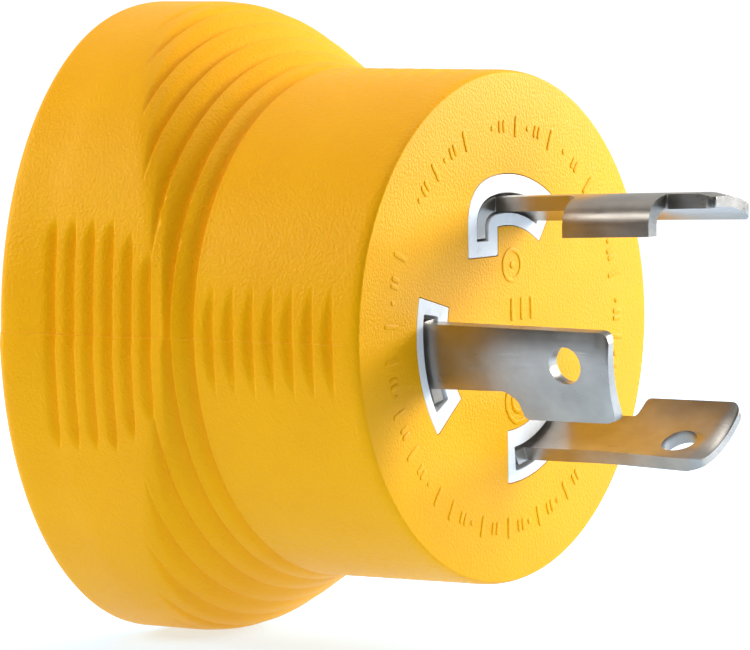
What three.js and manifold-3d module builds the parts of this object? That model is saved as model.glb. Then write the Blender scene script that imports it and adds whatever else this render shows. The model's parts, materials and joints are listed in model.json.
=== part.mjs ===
// A one-piece power adapter: a three-blade locking plug at one end and a larger oval
// travel-trailer receptacle at the other, moulded in yellow over a core of insulating parts.
//
// Units are millimetres. The parts are drawn in an axial frame, seen from the plug's front:
// x to the right, y up (towards the ground blade) and z out along the blades, with z = 0 on
// the plug's flat face. The exported group turns that frame so that z becomes +X and y +Z.

import * as THREE from 'three';
import { mergeVertices } from 'three/addons/utils/BufferGeometryUtils.js';
import Module from 'manifold-3d';

const wasm = await Module();
wasm.setup();

// ---------------------------------------------------------------- driving dimensions

const GAP = 0.3; // clearance between neighbouring pieces

const PLUG_RADIUS = 28.3; // the small cylinder around the plug
const FACE_RADIUS = 27.9;
const EDGE_LENGTH = 1.4; // rounding from the face to the cylinder
const REAR_Z = -48; // the receptacle's flat face
const OVAL_HALF_WIDTH = 29.6;
const OVAL_HALF_HEIGHT = 35.8;
const OVAL_POWER = 2.1; // superellipse exponent, a little squarer than an ellipse
const REAR_ROUNDING = 1.2;

const GROOVE_PITCH = 2.63; // all grip grooves share one pitch, from the face backwards
const FIRST_GROOVE_Z = -3.24;
const GROOVE_WIDTH = 1.3;
const GROOVE_DEPTH = 0.65;
const PLUG_GROOVES = 7; // short grooves on the small cylinder, in four groups
const RING_GROOVES = 7; // full rings on the shoulder, the first one at the neck
const SIDE_GROOVES = 6; // short grooves on each flat side of the oval
const SIDE_GROOVE_REACH = [10, 12.3, 14, 14, 14, 14]; // half height of each, front to rear
const SHOULDER_START_Z = -20.9;
const SHOULDER_END_Z = -39.5;
const SHOULDER_RADIUS = 36;

const FACE_WALL = 3; // jacket over the plug's insert
const REAR_WALL = 3.5; // jacket over the receptacle's insert
const CORE_RADIUS = 22;

const INSERT_REAR_Z = -11;
const PLATE_THICKNESS = 3;
const BLADE_THICKNESS = 1.6;
const TIP_BEVEL_LENGTH = 1.9;
const TIP_BEVEL_DEPTH = 0.45;
const POWER_BLADE_RADIUS = 13.9; // inner face of the hot and neutral blades
const GROUND_BLADE_RADIUS = 12.9;
const POCKET_DEPTH = 2;
const TAIL_END_Z = -19.2;
const TAIL_HALF_WIDTH = 2.75;
const BLADE_RIVET_Z = -16.9;
const RIVET_RADIUS = 1.3;
const RIVET_HEAD_RADIUS = 2.2;
const RIVET_HEAD_HEIGHT = 0.9;

const LINK_THICKNESS = 1;
const LINK_HALF_WIDTH = 2.6;
const CONTACT_TAIL_RADIUS = 9.8; // inner face of each contact's tail
const CONTACT_TAIL_THICKNESS = 0.8;
const CONTACT_TAIL_END_Z = -23.8;
const CONTACT_RIVET_Z = -25.7;

const BACK_PLATE_Z = -28.2;
const BACK_PLATE_THICKNESS = 2.5;
const BASE_Z = -31; // base plates of the contacts lie between the insert and its back plate
const BASE_THICKNESS = 1;
const CONTACT_MOUTH_Z = -43;

const SLOT_CENTRE = [8.2, -4.5]; // power slots, mirrored about x = 0, each at 45 degrees
const SLOT_HALF_LENGTH = 5.5;
const SLOT_HALF_WIDTH = 1.3;
const GROUND_SOCKET_Y = 9.5;
const GROUND_SOCKET_RADIUS = 3.8;
const SLEEVE_RADIUS = 3.3;
const LEAF_HALF_WIDTH = 4.3;
const LEAF_INSIDE = 0.75;
const LEAF_THICKNESS = 0.8;

// ---------------------------------------------------------------- materials

function finish(color, roughness, metalness) {
  return new THREE.MeshStandardMaterial({ color, roughness, metalness });
}

const YELLOW = finish(0xf2a90c, 0.55, 0);
const WHITE = finish(0xe9e9e6, 0.35, 0);
const GREY = finish(0x53565a, 0.6, 0);
const NICKEL = finish(0xc9c6c0, 0.28, 1);
const BRASS = finish(0xc79a4b, 0.35, 1);
const COPPER = finish(0xb87345, 0.4, 1);
const STEEL = finish(0x9ea1a5, 0.4, 1);

// ---------------------------------------------------------------- solids

// A closed geometry as a solid, with its shared corners merged and its faces pointing out.
function solid(shape) {
  if (shape instanceof wasm.Manifold) return shape;
  const geometry = shape.clone();
  geometry.deleteAttribute('normal');
  geometry.deleteAttribute('uv');
  const merged = mergeVertices(geometry, 1e-4);
  const points = merged.getAttribute('position');
  const index = merged.getIndex().array;
  const corners = [0, 1, 2].map(() => new THREE.Vector3());
  const triangles = [];
  let volume = 0;
  for (let i = 0; i < index.length; i += 3) {
    const [a, b, c] = [index[i], index[i + 1], index[i + 2]];
    if (a === b || b === c || c === a) continue;
    triangles.push(a, b, c);
    [a, b, c].forEach((vertex, k) => corners[k].fromBufferAttribute(points, vertex));
    volume += corners[0].dot(corners[1].clone().cross(corners[2]));
  }
  if (volume < 0) triangles.reverse();
  return new wasm.Manifold(new wasm.Mesh({
    numProp: 3,
    vertProperties: new Float32Array(points.array),
    triVerts: new Uint32Array(triangles),
  }));
}

function join(...shapes) {
  return shapes.map(solid).reduce((whole, shape) => whole.add(shape));
}

function cut(shape, ...tools) {
  return tools.map(solid).reduce((rest, tool) => rest.subtract(tool), solid(shape));
}

function common(a, b) {
  return solid(a).intersect(solid(b));
}

function piece(name, shape, material) {
  const { vertProperties, triVerts } = solid(shape).getMesh();
  const geometry = new THREE.BufferGeometry();
  geometry.setAttribute('position', new THREE.BufferAttribute(vertProperties, 3));
  geometry.setIndex(new THREE.BufferAttribute(triVerts, 1));
  geometry.computeVertexNormals();
  const mesh = new THREE.Mesh(geometry, material);
  mesh.name = name;
  return mesh;
}

// ---------------------------------------------------------------- basic forms

const AXES = new THREE.Matrix4().makeBasis(
  new THREE.Vector3(0, 1, 0),
  new THREE.Vector3(0, 0, 1),
  new THREE.Vector3(1, 0, 0),
);

function prism(shape, lowZ, highZ, curveSegments = 12) {
  const depth = highZ - lowZ;
  const geometry = new THREE.ExtrudeGeometry(shape, { depth, bevelEnabled: false, curveSegments });
  return geometry.translate(0, 0, lowZ);
}

// An outline of (tangential y, axial z) points pushed along the radial x axis.
function radialPrism(shape, lowX, highX, curveSegments = 6) {
  return prism(shape, lowX, highX, curveSegments).applyMatrix4(AXES);
}

function block(lowX, highX, lowY, highY, lowZ, highZ) {
  const box = new THREE.BoxGeometry(highX - lowX, highY - lowY, highZ - lowZ);
  return box.translate((lowX + highX) / 2, (lowY + highY) / 2, (lowZ + highZ) / 2);
}

// A solid of revolution about z from [radius, z] corners.
function lathe(profile, segments) {
  const points = profile.map(([radius, z]) => new THREE.Vector2(radius, z));
  return new THREE.LatheGeometry(points, segments).rotateX(Math.PI / 2);
}

function disc(radius, lowZ, highZ, segments = 48) {
  return lathe([[0, lowZ], [radius, lowZ], [radius, highZ], [0, highZ]], segments);
}

function tube(inner, outer, lowZ, highZ, segments = 32) {
  const corners = [[inner, lowZ], [outer, lowZ], [outer, highZ], [inner, highZ]];
  return lathe([...corners, corners[0]], segments);
}

function sector(inner, outer, fromDegrees, toDegrees) {
  const [from, to] = [fromDegrees, toDegrees].map(THREE.MathUtils.degToRad);
  const shape = new THREE.Shape();
  shape.absarc(0, 0, outer, from, to, false);
  shape.absarc(0, 0, inner, to, from, true);
  shape.closePath();
  return shape;
}

function outline(points) {
  return new THREE.Shape(points.map(([x, y]) => new THREE.Vector2(x, y)));
}

// A polygon whose corners, given as [x, y, radius], are rounded.
function roundedOutline(corners) {
  const shape = new THREE.Shape();
  corners.forEach(([x, y, radius], i) => {
    const corner = new THREE.Vector2(x, y);
    const [before, after] = [corners.at(i - 1), corners[(i + 1) % corners.length]]
      .map(([nx, ny]) => new THREE.Vector2(nx, ny).sub(corner).setLength(radius).add(corner));
    if (i === 0) shape.moveTo(before.x, before.y);
    else shape.lineTo(before.x, before.y);
    shape.quadraticCurveTo(x, y, after.x, after.y);
  });
  shape.closePath();
  return shape;
}

// ---------------------------------------------------------------- the yellow jacket

function ovalOutline(inset, count = 56) {
  const points = [];
  for (let i = 0; i < count; i += 1) {
    const angle = (i / count) * 2 * Math.PI;
    const bend = (value) => Math.sign(value) * Math.abs(value) ** (2 / OVAL_POWER);
    const x = (OVAL_HALF_WIDTH - inset) * bend(Math.cos(angle));
    const y = (OVAL_HALF_HEIGHT - inset) * bend(Math.sin(angle));
    points.push([x, y]);
  }
  return outline(points);
}

function ovalBody() {
  const length = 20 - REAR_Z;
  const rounding = {
    depth: length - 2 * REAR_ROUNDING,
    bevelThickness: REAR_ROUNDING,
    bevelSize: REAR_ROUNDING,
    bevelOffset: -REAR_ROUNDING,
    bevelSegments: 3,
  };
  return new THREE.ExtrudeGeometry(ovalOutline(0), rounding).translate(0, 0, REAR_Z + REAR_ROUNDING);
}

function grooveZ(index) {
  return FIRST_GROOVE_Z - index * GROOVE_PITCH;
}

// The shoulder swells from the small cylinder in a smooth S.
function shoulderRadius(z) {
  const swell = THREE.MathUtils.smoothstep(-z, -SHOULDER_START_Z, -SHOULDER_END_Z);
  return PLUG_RADIUS + (SHOULDER_RADIUS - PLUG_RADIUS) * swell;
}

function ringGroove(z) {
  const wall = 0.2;
  return [
    [shoulderRadius(z), z],
    [shoulderRadius(z) - GROOVE_DEPTH, z - wall],
    [shoulderRadius(z - GROOVE_WIDTH) - GROOVE_DEPTH, z - GROOVE_WIDTH + 2 * wall],
    [shoulderRadius(z - GROOVE_WIDTH), z - GROOVE_WIDTH],
  ];
}

function turnedBody() {
  const edge = PLUG_RADIUS - FACE_RADIUS;
  const front = [
    [0, 0],
    [FACE_RADIUS, 0],
    [FACE_RADIUS + 0.6 * edge, -0.2 * EDGE_LENGTH],
    [PLUG_RADIUS, -EDGE_LENGTH],
  ];
  const rings = [];
  for (let i = 0; i < RING_GROOVES; i += 1) {
    rings.push(...ringGroove(grooveZ(PLUG_GROOVES + i)));
  }
  const beyondOval = OVAL_HALF_HEIGHT + 2;
  const rear = [
    [SHOULDER_RADIUS, SHOULDER_END_Z],
    [beyondOval, SHOULDER_END_Z - 0.5],
    [beyondOval, REAR_Z - 1],
    [0, REAR_Z - 1],
  ];
  return lathe([...front, ...rings, ...rear], 48);
}

// Straight cuts across the small cylinder, which fade out where the surface curves away.
function plugGrooves() {
  const floor = PLUG_RADIUS - GROOVE_DEPTH;
  const cuts = [];
  for (let i = 0; i < PLUG_GROOVES; i += 1) {
    const z = grooveZ(i);
    for (let quarter = 0; quarter < 4; quarter += 1) {
      const cutter = block(floor, floor + 5, -9, 9, z - GROOVE_WIDTH, z);
      cuts.push(cutter.rotateZ(quarter * Math.PI / 2));
    }
  }
  return cuts;
}

// Cuts of even depth along the oval's sides, behind the rings that fade out there.
function sideGrooves() {
  const far = OVAL_HALF_WIDTH + 5;
  const cuts = [];
  for (let i = 0; i < SIDE_GROOVES; i += 1) {
    const z = grooveZ(PLUG_GROOVES + 2 + i);
    const reach = SIDE_GROOVE_REACH[i];
    const core = prism(ovalOutline(GROOVE_DEPTH), z - 5, z + 5);
    for (const [low, high] of [[-far, -15], [15, far]]) {
      cuts.push(cut(block(low, high, -reach, reach, z - GROOVE_WIDTH, z), core));
    }
  }
  return cuts;
}

function jacket() {
  const body = common(turnedBody(), ovalBody());
  const cavity = disc(CORE_RADIUS + GAP, REAR_Z + REAR_WALL, -FACE_WALL);
  const plugHoles = plugBosses(GAP / 2).map((shape) => prism(shape, -FACE_WALL - 1, 1, 8));
  const socketHoles = socketBosses(GAP / 2).map((shape) => prism(shape, REAR_Z - 1, REAR_Z + 5, 8));
  return cut(body, ...plugGrooves(), ...sideGrooves(), cavity, ...plugHoles, ...socketHoles);
}

// ---------------------------------------------------------------- blades

const NEUTRAL_ANGLE = 187.3;
const HOT_ANGLE = 298.6;
const GROUND_ANGLE = 78.5;

const ROOT_FRONT_Z = -0.2; // shoulders of the blade roots, seen in the pockets
const EAR_FRONT_Z = INSERT_REAR_Z + 1.7;

// Outlines of the power blades: neck, hooked head and root with retaining ears.
const NEUTRAL_BLADE = {
  angle: NEUTRAL_ANGLE,
  length: 23.6,
  hole: [0.55, 17.7],
  root: [-3.7, 5.6],
  head: [[3.7, 9.6, 0.5], [4.6, 10.6, 0.5], [7, 11.2, 0.9], [7, 22.5, 1.2], [-3.1, 23.3, 1.6]],
  neck: [-3.3, 3.7],
};
const HOT_BLADE = {
  angle: HOT_ANGLE,
  length: 23.2,
  hole: [-0.3, 18.2],
  root: [-5.2, 3.5],
  head: [[3.5, 10.7, 0.5], [5.9, 11.2, 0.7], [5.9, 23.2, 1.2], [-4.8, 23.2, 2], [-3.5, 10.4, 3]],
  neck: [-3.5, 3.5],
};

// A ring of the blade's thickness, bevelled towards the tip. The bevels run on past it.
function bladeRing(inner, length) {
  const outer = inner + BLADE_THICKNESS;
  const corners = [
    [inner, TAIL_END_Z - 1],
    [outer, TAIL_END_Z - 1],
    [outer, length - TIP_BEVEL_LENGTH],
    [outer - TIP_BEVEL_DEPTH * 1.5, length + TIP_BEVEL_LENGTH * 0.5],
    [inner + 0.45, length + 0.4],
    [inner, length - 0.8],
  ];
  return lathe([...corners, corners[0]], 90);
}

function tailHole(z) {
  const hole = new THREE.Path();
  hole.absarc(0, z, RIVET_RADIUS + GAP, 0, 2 * Math.PI, true);
  return hole;
}

function powerBlade({ length, hole, root, head, neck }) {
  const ear = 1;
  const shape = roundedOutline([
    [-TAIL_HALF_WIDTH, INSERT_REAR_Z, 0.1],
    [-TAIL_HALF_WIDTH, TAIL_END_Z, 0.8],
    [TAIL_HALF_WIDTH, TAIL_END_Z, 0.8],
    [TAIL_HALF_WIDTH, INSERT_REAR_Z, 0.1],
    [root[1] + ear, INSERT_REAR_Z, 0.1],
    [root[1] + ear, EAR_FRONT_Z, 0.1],
    [root[1], EAR_FRONT_Z, 0.1],
    [root[1], ROOT_FRONT_Z, 0.2],
    [neck[1] + 0.05, ROOT_FRONT_Z, 0.02],
    ...head,
    [neck[0] - 0.05, ROOT_FRONT_Z, 0.02],
    [root[0] - 0.1, ROOT_FRONT_Z, 0.02],
    [root[0], EAR_FRONT_Z, 0.1],
    [root[0] - ear, EAR_FRONT_Z, 0.1],
    [root[0] - ear, INSERT_REAR_Z, 0.1],
  ]);
  const lockHole = new THREE.Path();
  lockHole.absarc(hole[0], hole[1], 2.02, 0, 2 * Math.PI, true);
  shape.holes.push(lockHole, tailHole(BLADE_RIVET_Z));
  return common(bladeRing(POWER_BLADE_RADIUS, length), radialPrism(shape, 9, 20));
}

// The ground blade's section: an arc with a leg folded inwards at its left end.
const LEG_OUTSIDE = -5.2;
const LEG_TIP_Y = 10;
const GROUND_LENGTH = 28;
const GROUND_TAIL = [0, 5.1]; // the tail's sides, left and right

// Where an arc about the origin leaves for a smooth bend into the upright line at x: it starts
// reach before that line, and its tangent meets the line at y.
function tangentBend(radius, x, reach) {
  const startX = x + reach;
  const startY = Math.sqrt(radius ** 2 - startX ** 2);
  return { angle: Math.atan2(startY, startX), startY, y: startY + (reach * startX) / startY };
}

function groundSection(grow, rightDegrees = 62) {
  const outer = GROUND_BLADE_RADIUS + BLADE_THICKNESS + grow;
  const inner = GROUND_BLADE_RADIUS - grow;
  const right = THREE.MathUtils.degToRad(rightDegrees - grow * 4);
  const left = LEG_OUTSIDE - grow;
  const inside = LEG_OUTSIDE + BLADE_THICKNESS + grow;
  const tip = LEG_TIP_Y - grow;
  const outerBend = tangentBend(outer, left, 3.4);
  const innerBend = tangentBend(inner, inside, 1.8);
  const shape = new THREE.Shape();
  shape.absarc(0, 0, outer, right, outerBend.angle, false);
  shape.quadraticCurveTo(left, outerBend.y, left, outerBend.y - 2.9);
  shape.lineTo(left, tip);
  shape.lineTo(inside, tip);
  shape.lineTo(inside, innerBend.y - 1.5);
  shape.quadraticCurveTo(inside, innerBend.y, inside + 1.8, innerBend.startY);
  shape.absarc(0, 0, inner, innerBend.angle, right, true);
  shape.closePath();
  return shape;
}

// What is left of the ground blade when seen from above: its neck, hook lug, tip and tail.
function groundPlanform() {
  const neck = -1.6;
  const far = 12;
  const window = roundedOutline([
    [GROUND_TAIL[0], TAIL_END_Z, 0.8],
    [GROUND_TAIL[1], TAIL_END_Z, 0.8],
    [GROUND_TAIL[1], INSERT_REAR_Z, 0.1],
    [far, INSERT_REAR_Z, 0.1],
    [far, GROUND_LENGTH - 1.2, 0.1],
    [6.7, GROUND_LENGTH - 1.2, 0.4],
    [5.7, GROUND_LENGTH, 0.7],
    [neck + 0.4, GROUND_LENGTH, 0.3],
    [neck, GROUND_LENGTH - 0.7, 0.3],
    [neck, 22, 0.3],
    [-far, 22, 0.3],
    [-far, 10.9, 0.3],
    [neck - 1, 10.9, 0.5],
    [neck, 9.9, 0.5],
    [neck, ROOT_FRONT_Z, 0.1],
    [-far, ROOT_FRONT_Z, 0.1],
    [-far, INSERT_REAR_Z, 0.1],
    [GROUND_TAIL[0], INSERT_REAR_Z, 0.1],
  ]);
  const viewFromAbove = new THREE.Matrix4().makeBasis(
    new THREE.Vector3(1, 0, 0),
    new THREE.Vector3(0, 0, 1),
    new THREE.Vector3(0, -1, 0),
  );
  return prism(window, 0, 30, 4).applyMatrix4(viewFromAbove).translate(0, 25, 0);
}

function groundBlade() {
  const outer = GROUND_BLADE_RADIUS + BLADE_THICKNESS;
  const section = prism(groundSection(0, 57), TAIL_END_Z - 1, GROUND_LENGTH + 1, 8);
  const rightEdge = prism(sector(8, 22, 40, 62), EAR_FRONT_Z, GROUND_LENGTH + 2, 4);
  const bevelStart = GROUND_LENGTH - TIP_BEVEL_LENGTH;
  const tipBevel = lathe([
    [0, TAIL_END_Z - 3],
    [20, TAIL_END_Z - 3],
    [20, bevelStart - TIP_BEVEL_LENGTH * 0.5],
    [outer + TIP_BEVEL_DEPTH * 0.5, bevelStart - TIP_BEVEL_LENGTH * 0.5],
    [outer - TIP_BEVEL_DEPTH * 2, bevelStart + TIP_BEVEL_LENGTH * 2],
    [0, bevelStart + TIP_BEVEL_LENGTH * 2],
  ], 72);
  const head = common(common(section, groundPlanform()), tipBevel);
  const hole = solid(rivetHole(BLADE_RIVET_Z)).rotate([0, 0, GROUND_ANGLE]);
  return cut(head, rightEdge, hole);
}

// ---------------------------------------------------------------- the plug's insulating parts

const NEUTRAL_BOSS = [165.3, 218.6];
const HOT_BOSS = [270, 320.5];
const BOSS_INNER = 11.45;
const BOSS_OUTER = 17.2;
const GROUND_BOSS_INNER = 11.25;
const GROUND_BOSS_OUTER = 16.85;

function groundBoss(grow) {
  const degrees = THREE.MathUtils.degToRad;
  const outer = GROUND_BOSS_OUTER + grow;
  const inner = GROUND_BOSS_INNER - grow;
  const left = -7.2 - grow;
  const inside = -1.5 + grow;
  const foot = 8 - grow;
  const right = degrees(55 - grow * 3);
  const bend = tangentBend(outer, left, 4.6);
  const shape = new THREE.Shape();
  shape.absarc(0, 0, outer, right, bend.angle, false);
  shape.quadraticCurveTo(left, bend.y, left, bend.y - 4.6);
  shape.lineTo(left, foot);
  shape.lineTo(inside, foot);
  shape.lineTo(inside, Math.sqrt(inner ** 2 - inside ** 2));
  shape.absarc(0, 0, inner, Math.acos(inside / inner), right, true);
  shape.closePath();
  return shape;
}

// The three white bosses that come up flush with the face, enlarged by grow.
function plugBosses(grow) {
  const turn = grow * 3.5;
  const ring = [BOSS_INNER - grow, BOSS_OUTER + grow];
  return [
    sector(...ring, NEUTRAL_BOSS[0] - turn, NEUTRAL_BOSS[1] + turn),
    sector(...ring, HOT_BOSS[0] - turn, HOT_BOSS[1] + turn),
    groundBoss(grow),
  ];
}

// The angles, in degrees, that a stretch of a power blade's outline takes up with clearance.
function spread({ angle }, [from, to], extra) {
  const reach = (y) => THREE.MathUtils.radToDeg(Math.asin(y / POWER_BLADE_RADIUS));
  return [angle + reach(from) - extra, angle + reach(to) + extra];
}

function plugInsert() {
  const inner = POWER_BLADE_RADIUS;
  const outer = POWER_BLADE_RADIUS + BLADE_THICKNESS;
  const body = disc(CORE_RADIUS, INSERT_REAR_Z, -FACE_WALL - GAP);
  const bosses = plugBosses(0).map((shape) => prism(shape, -FACE_WALL - 1, 0, 8));
  const cuts = [];
  for (const blade of [NEUTRAL_BLADE, HOT_BLADE]) {
    const slot = sector(inner - GAP, outer + GAP, ...spread(blade, blade.root, 1.3));
    cuts.push(prism(slot, INSERT_REAR_Z - 1, 1, 5));
    const pocket = sector(inner - 0.55, outer + 0.5, ...spread(blade, blade.root, 1.7));
    cuts.push(prism(pocket, -POCKET_DEPTH, 1, 5));
    const ears = [blade.root[0] - 1, blade.root[1] + 1];
    const recess = sector(inner - GAP, outer + GAP, ...spread(blade, ears, 1.5));
    cuts.push(prism(recess, INSERT_REAR_Z - 1, EAR_FRONT_Z + GAP, 5));
  }
  cuts.push(prism(groundSection(GAP), INSERT_REAR_Z - 1, 1, 6));
  cuts.push(prism(groundSection(0.5), -POCKET_DEPTH, 1, 6));
  const groundRing = [GROUND_BLADE_RADIUS - GAP, GROUND_BLADE_RADIUS + BLADE_THICKNESS + GAP];
  cuts.push(prism(sector(...groundRing, 55, 72), INSERT_REAR_Z - 1, EAR_FRONT_Z + GAP, 4));
  return cut(join(body, ...bosses), ...cuts);
}

const BLADES = [
  { name: 'neutral', angle: NEUTRAL_ANGLE, radius: POWER_BLADE_RADIUS },
  { name: 'hot', angle: HOT_ANGLE, radius: POWER_BLADE_RADIUS },
  { name: 'ground', angle: GROUND_ANGLE, radius: GROUND_BLADE_RADIUS },
];

function rotated(geometry, degrees) {
  return geometry.rotateZ(THREE.MathUtils.degToRad(degrees));
}

function plugBackPlate() {
  const front = INSERT_REAR_Z - GAP;
  const rear = front - PLATE_THICKNESS;
  const slots = BLADES.map(({ angle, radius }) => {
    const halfWidth = TAIL_HALF_WIDTH + GAP;
    const outer = radius + BLADE_THICKNESS + GAP;
    const slot = block(radius - 0.7, outer, -halfWidth, halfWidth, rear - 1, front + 1);
    return rotated(slot, angle);
  });
  return cut(disc(CORE_RADIUS, rear, front), ...slots);
}

// ---------------------------------------------------------------- links and rivets

// A brass strip from the inside of a blade's tail to the inside of a contact's tail.
function link({ radius }) {
  const front = radius - 2 * GAP - LINK_THICKNESS;
  const rear = CONTACT_TAIL_RADIUS - GAP - LINK_THICKNESS;
  const side = [
    [front, -14.8],
    [front, TAIL_END_Z - 0.5],
    [rear, -23],
    [rear, BACK_PLATE_Z + GAP],
    [rear + LINK_THICKNESS, BACK_PLATE_Z + GAP],
    [rear + LINK_THICKNESS, -23.4],
    [front + LINK_THICKNESS, TAIL_END_Z - 0.9],
    [front + LINK_THICKNESS, -14.8],
  ];
  const profile = outline(side.map(([x, z]) => [z, x]));
  const strip = prism(profile, -LINK_HALF_WIDTH, LINK_HALF_WIDTH).applyMatrix4(
    new THREE.Matrix4().makeBasis(
      new THREE.Vector3(0, 0, 1),
      new THREE.Vector3(1, 0, 0),
      new THREE.Vector3(0, 1, 0),
    ),
  );
  return cut(strip, rivetHole(BLADE_RIVET_Z), rivetHole(CONTACT_RIVET_Z));
}

function radialRod(radius, lowX, highX, z) {
  return disc(radius, lowX, highX, 16).rotateY(Math.PI / 2).translate(0, 0, z);
}

function rivetHole(z) {
  return radialRod(RIVET_RADIUS + GAP, 2, 20, z);
}

function rivet(lowX, highX, z) {
  return join(
    radialRod(RIVET_RADIUS, lowX, highX, z),
    radialRod(RIVET_HEAD_RADIUS, lowX, lowX + RIVET_HEAD_HEIGHT, z),
    radialRod(RIVET_HEAD_RADIUS, highX - RIVET_HEAD_HEIGHT, highX, z),
  );
}

function bladeRivet({ radius }) {
  const low = radius - 3 * GAP - LINK_THICKNESS - RIVET_HEAD_HEIGHT;
  return rivet(low, radius + BLADE_THICKNESS + GAP + RIVET_HEAD_HEIGHT, BLADE_RIVET_Z);
}

function contactRivet() {
  const low = CONTACT_TAIL_RADIUS - 2 * GAP - LINK_THICKNESS - RIVET_HEAD_HEIGHT;
  const high = CONTACT_TAIL_RADIUS + CONTACT_TAIL_THICKNESS + GAP + RIVET_HEAD_HEIGHT;
  return rivet(low, high, CONTACT_RIVET_Z);
}

// ---------------------------------------------------------------- the receptacle

// The power slots lie on the left and right, at 45 degrees: \ on the left and / on the right.
const POWER_SLOTS = [
  { name: 'neutral', side: -1, tailAngle: NEUTRAL_ANGLE },
  { name: 'hot', side: 1, tailAngle: HOT_ANGLE },
];

function slotFrame(geometry, side) {
  return rotated(geometry, 45 * side).translate(side * SLOT_CENTRE[0], SLOT_CENTRE[1], 0);
}

function roundedBox(halfLength, halfWidth, corner) {
  return roundedOutline([
    [-halfLength, -halfWidth, corner],
    [halfLength, -halfWidth, corner],
    [halfLength, halfWidth, corner],
    [-halfLength, halfWidth, corner],
  ]);
}

function circle(radius) {
  return new THREE.Shape().absarc(0, 0, radius, 0, 2 * Math.PI, false);
}

function placedShape(shape, turn, x, y) {
  const centre = new THREE.Vector2();
  const points = shape.getPoints(8).map((point) => {
    const turned = point.clone().rotateAround(centre, THREE.MathUtils.degToRad(turn));
    return [turned.x + x, turned.y + y];
  });
  return outline(points.slice(0, -1));
}

// The white bosses around the slots and the ground hole, enlarged by grow.
function socketBosses(grow) {
  const around = roundedBox(SLOT_HALF_LENGTH + 1.6 + grow, SLOT_HALF_WIDTH + 1.5 + grow, 1.5);
  const bosses = [-1, 1].map((side) => (
    placedShape(around, 45 * side, side * SLOT_CENTRE[0], SLOT_CENTRE[1])
  ));
  bosses.push(placedShape(circle(GROUND_SOCKET_RADIUS + 1.9 + grow), 0, 0, GROUND_SOCKET_Y));
  return bosses;
}

function receptacleInsert() {
  const innerZ = BASE_Z - BASE_THICKNESS - GAP;
  const wallZ = REAR_Z + REAR_WALL + GAP;
  const chamberEnd = CONTACT_MOUTH_Z - GAP;
  const body = disc(CORE_RADIUS, wallZ, innerZ);
  const bosses = socketBosses(0).map((shape) => prism(shape, REAR_Z, wallZ + 1, 8));
  const cuts = [];
  for (const { side } of POWER_SLOTS) {
    const mouth = roundedBox(SLOT_HALF_LENGTH, SLOT_HALF_WIDTH, 0.4);
    cuts.push(slotFrame(prism(mouth, REAR_Z - 1, chamberEnd + 1, 2), side));
    cuts.push(slotFrame(block(-5.7, 5.7, -2.7, 2.7, chamberEnd, innerZ + 1), side));
  }
  const hole = disc(GROUND_SOCKET_RADIUS, REAR_Z - 1, chamberEnd + 1, 24);
  const bore = disc(5.4, chamberEnd, innerZ + 1, 24);
  cuts.push(hole.translate(0, GROUND_SOCKET_Y, 0), bore.translate(0, GROUND_SOCKET_Y, 0));
  return cut(join(body, ...bosses), ...cuts);
}

function contactTail(angle) {
  const outside = CONTACT_TAIL_RADIUS + CONTACT_TAIL_THICKNESS;
  const strip = block(
    CONTACT_TAIL_RADIUS, outside, -LINK_HALF_WIDTH, LINK_HALF_WIDTH,
    BASE_Z - BASE_THICKNESS, CONTACT_TAIL_END_Z,
  );
  return solid(cut(strip, rivetHole(CONTACT_RIVET_Z))).rotate([0, 0, angle]);
}

// A rounded bar of the base plate, from one point to another.
function baseBar(from, to, halfWidth) {
  const [start, end] = [from, to].map(([x, y]) => new THREE.Vector2(x, y));
  const run = end.clone().sub(start);
  const bar = roundedOutline([
    [-halfWidth, -halfWidth, halfWidth * 0.6],
    [run.length() + halfWidth, -halfWidth, halfWidth * 0.6],
    [run.length() + halfWidth, halfWidth, halfWidth * 0.6],
    [-halfWidth, halfWidth, halfWidth * 0.6],
  ]);
  const plate = prism(bar, BASE_Z - BASE_THICKNESS, BASE_Z, 4);
  return plate.rotateZ(run.angle()).translate(start.x, start.y, 0);
}

function tailFoot(angle) {
  const radius = CONTACT_TAIL_RADIUS + CONTACT_TAIL_THICKNESS / 2;
  const turn = THREE.MathUtils.degToRad(angle);
  return [radius * Math.cos(turn), radius * Math.sin(turn)];
}

function powerContact({ side, tailAngle }) {
  const outside = LEAF_INSIDE + LEAF_THICKNESS;
  const leaves = [];
  for (const face of [-1, 1]) {
    const section = outline([
      [BASE_Z - 0.5, face * LEAF_INSIDE],
      [CONTACT_MOUTH_Z + 2.5, face * LEAF_INSIDE],
      [CONTACT_MOUTH_Z, face * (LEAF_INSIDE + 0.8)],
      [CONTACT_MOUTH_Z, face * (outside + 0.8)],
      [CONTACT_MOUTH_Z + 2.5, face * outside],
      [BASE_Z - 0.5, face * outside],
    ]);
    const leaf = prism(section, -LEAF_HALF_WIDTH, LEAF_HALF_WIDTH).applyMatrix4(
      new THREE.Matrix4().makeBasis(
        new THREE.Vector3(0, 0, 1),
        new THREE.Vector3(0, 1, 0),
        new THREE.Vector3(-1, 0, 0),
      ),
    );
    leaves.push(slotFrame(leaf, side));
  }
  const floorZ = BASE_Z - BASE_THICKNESS;
  const base = slotFrame(block(-LEAF_HALF_WIDTH, LEAF_HALF_WIDTH, -outside, outside, floorZ, BASE_Z), side);
  const centre = [side * SLOT_CENTRE[0], SLOT_CENTRE[1]];
  const arm = baseBar(centre, tailFoot(tailAngle), LINK_HALF_WIDTH);
  return join(...leaves, base, arm, contactTail(tailAngle));
}

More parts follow.
